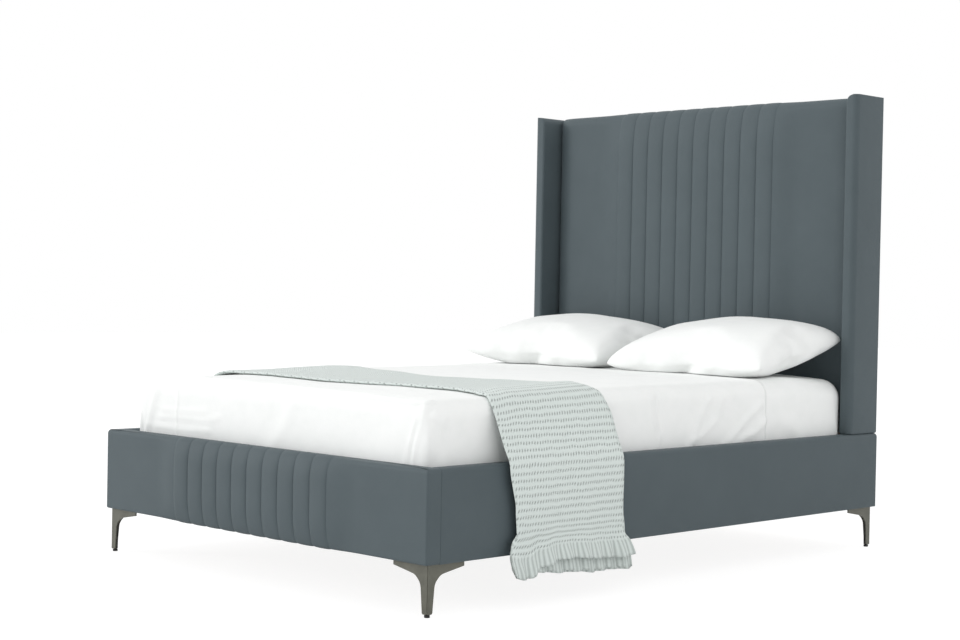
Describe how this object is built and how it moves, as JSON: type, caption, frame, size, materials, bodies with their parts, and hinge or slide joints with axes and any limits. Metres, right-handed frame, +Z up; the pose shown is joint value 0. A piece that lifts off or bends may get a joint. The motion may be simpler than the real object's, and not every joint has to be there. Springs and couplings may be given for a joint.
{
  "type": "upholstered bed",
  "caption": "Upholstered double bed with a tall winged headboard, sewn vertical channels on headboard and footboard, metal corner legs, white bedding and a knitted throw.",
  "frame": {"origin": "on the floor, centred under the whole bed", "axes": "+Y towards the headboard along the bed, +Z up, +X to the right seen from the foot"},
  "size_m": [1.5158, 2.0724, 1.504],
  "materials": {
    "upholstery": "smooth weave",
    "back_cloth": "non-woven",
    "white_cotton": "plain cotton",
    "mattress_ticking": "ticking",
    "knit": "chunky knit",
    "leg_metal": "satin gunmetal",
    "black_plastic": "matte",
    "black_steel": "powder coat",
    "zinc_steel": "zinc plated",
    "webbing": "woven tape",
    "frame_wood": "sawn softwood",
    "slat_wood": "planed",
    "plywood": "plywood"
  },
  "bodies": {
    "bed_frame": {"beam_hangers": "black_steel", "centre_beam": "frame_wood", "centre_leg_front": "black_steel", "centre_leg_plugs": "black_plastic", "centre_leg_rear": "black_steel", "corner_blocks": "frame_wood", "corner_bolts": "zinc_steel", "corner_brackets": "zinc_steel", "footboard_core": "frame_wood", "footboard_cover": "upholstery", "head_rail": "frame_wood", "headboard_back_cloth": "back_cloth", "headboard_bottom_rail": "frame_wood", "headboard_middle_rail": "frame_wood", "headboard_pad": "upholstery", "headboard_panel": "plywood", "headboard_stile_left": "frame_wood", "headboard_stile_right": "frame_wood", "headboard_top_rail": "frame_wood", "ledger_left": "frame_wood", "ledger_right": "frame_wood", "ledger_screws": "zinc_steel", "leg_front_left": "leg_metal", "leg_front_right": "leg_metal", "leg_inserts": "black_plastic", "leg_rear_left": "leg_metal", "leg_rear_right": "leg_metal", "leg_screws": "zinc_steel", "side_rail_left_core": "frame_wood", "side_rail_left_cover": "upholstery", "side_rail_right_core": "frame_wood", "side_rail_right_cover": "upholstery", "slat_screws": "zinc_steel", "slat_straps": "webbing", "slats": "slat_wood", "stile_bolts": "zinc_steel", "wing_bolts": "zinc_steel", "wing_left_core": "frame_wood", "wing_left_cover": "upholstery", "wing_right_core": "frame_wood", "wing_right_cover": "upholstery"},
    "mattress": {"mattress": "mattress_ticking", "fitted_sheet": "white_cotton", "flat_sheet": "white_cotton"},
    "pillow_left": {"pillow_left": "white_cotton"},
    "pillow_right": {"pillow_right": "white_cotton"},
    "throw": {"throw_blanket": "knit"},
    "pad_front_left": {"glide_pad_front_left": "black_plastic"},
    "stud_front_left": {"glide_stud_front_left": "zinc_steel"},
    "pad_front_right": {"glide_pad_front_right": "black_plastic"},
    "stud_front_right": {"glide_stud_front_right": "zinc_steel"},
    "pad_rear_left": {"glide_pad_rear_left": "black_plastic"},
    "stud_rear_left": {"glide_stud_rear_left": "zinc_steel"},
    "pad_rear_right": {"glide_pad_rear_right": "black_plastic"},
    "stud_rear_right": {"glide_stud_rear_right": "zinc_steel"},
    "pad_centre_front": {"glide_pad_centre_front": "black_plastic"},
    "stud_centre_front": {"glide_stud_centre_front": "zinc_steel"},
    "pad_centre_rear": {"glide_pad_centre_rear": "black_plastic"},
    "stud_centre_rear": {"glide_stud_centre_rear": "zinc_steel"}
  },
  "joints": [
    {"name": "mattress_lift", "type": "slide", "parent": "bed_frame", "child": "mattress", "axis": [0, 0, 1], "range_m": [0, 0.45]},
    {"name": "pillow_left_lift", "type": "slide", "parent": "mattress", "child": "pillow_left", "axis": [0, 0, 1], "range_m": [0, 0.3]},
    {"name": "pillow_right_lift", "type": "slide", "parent": "mattress", "child": "pillow_right", "axis": [0, 0, 1], "range_m": [0, 0.3]},
    {"name": "throw_lift", "type": "slide", "parent": "mattress", "child": "throw", "axis": [0, 0, 1], "range_m": [0, 0.55]},
    {"name": "glide_front_left", "type": "slide", "parent": "bed_frame", "child": "pad_front_left", "axis": [0, 0, -1], "range_m": [0, 0.012]},
    {"name": "stud_turn_front_left", "type": "hinge", "parent": "pad_front_left", "child": "stud_front_left", "pos_m": [-0.7115, -1.00025, 0.02], "axis": [0, 0, -1], "range_deg": [0, 4320]},
    {"name": "glide_front_right", "type": "slide", "parent": "bed_frame", "child": "pad_front_right", "axis": [0, 0, -1], "range_m": [0, 0.012]},
    {"name": "stud_turn_front_right", "type": "hinge", "parent": "pad_front_right", "child": "stud_front_right", "pos_m": [0.7115, -1.00025, 0.02], "axis": [0, 0, -1], "range_deg": [0, 4320]},
    {"name": "glide_rear_left", "type": "slide", "parent": "bed_frame", "child": "pad_rear_left", "axis": [0, 0, -1], "range_m": [0, 0.012]},
    {"name": "stud_turn_rear_left", "type": "hinge", "parent": "pad_rear_left", "child": "stud_rear_left", "pos_m": [-0.7115, 1.00925, 0.02], "axis": [0, 0, -1], "range_deg": [0, 4320]},
    {"name": "glide_rear_right", "type": "slide", "parent": "bed_frame", "child": "pad_rear_right", "axis": [0, 0, -1], "range_m": [0, 0.012]},
    {"name": "stud_turn_rear_right", "type": "hinge", "parent": "pad_rear_right", "child": "stud_rear_right", "pos_m": [0.7115, 1.00925, 0.02], "axis": [0, 0, -1], "range_deg": [0, 4320]},
    {"name": "glide_centre_front", "type": "slide", "parent": "bed_frame", "child": "pad_centre_front", "axis": [0, 0, -1], "range_m": [0, 0.012]},
    {"name": "stud_turn_centre_front", "type": "hinge", "parent": "pad_centre_front", "child": "stud_centre_front", "pos_m": [0, -0.44375, 0.02], "axis": [0, 0, -1], "range_deg": [0, 4320]},
    {"name": "glide_centre_rear", "type": "slide", "parent": "bed_frame", "child": "pad_centre_rear", "axis": [0, 0, -1], "range_m": [0, 0.012]},
    {"name": "stud_turn_centre_rear", "type": "hinge", "parent": "pad_centre_rear", "child": "stud_centre_rear", "pos_m": [0, 0.45625, 0.02], "axis": [0, 0, -1], "range_deg": [0, 4320]}
  ],
  "couplings": [
    {"joint": "stud_turn_front_left", "follows": "glide_front_left", "rad_per_m": 6283.2},
    {"joint": "stud_turn_front_right", "follows": "glide_front_right", "rad_per_m": 6283.2},
    {"joint": "stud_turn_rear_left", "follows": "glide_rear_left", "rad_per_m": 6283.2},
    {"joint": "stud_turn_rear_right", "follows": "glide_rear_right", "rad_per_m": 6283.2},
    {"joint": "stud_turn_centre_front", "follows": "glide_centre_front", "rad_per_m": 6283.2},
    {"joint": "stud_turn_centre_rear", "follows": "glide_centre_rear", "rad_per_m": 6283.2}
  ]
}
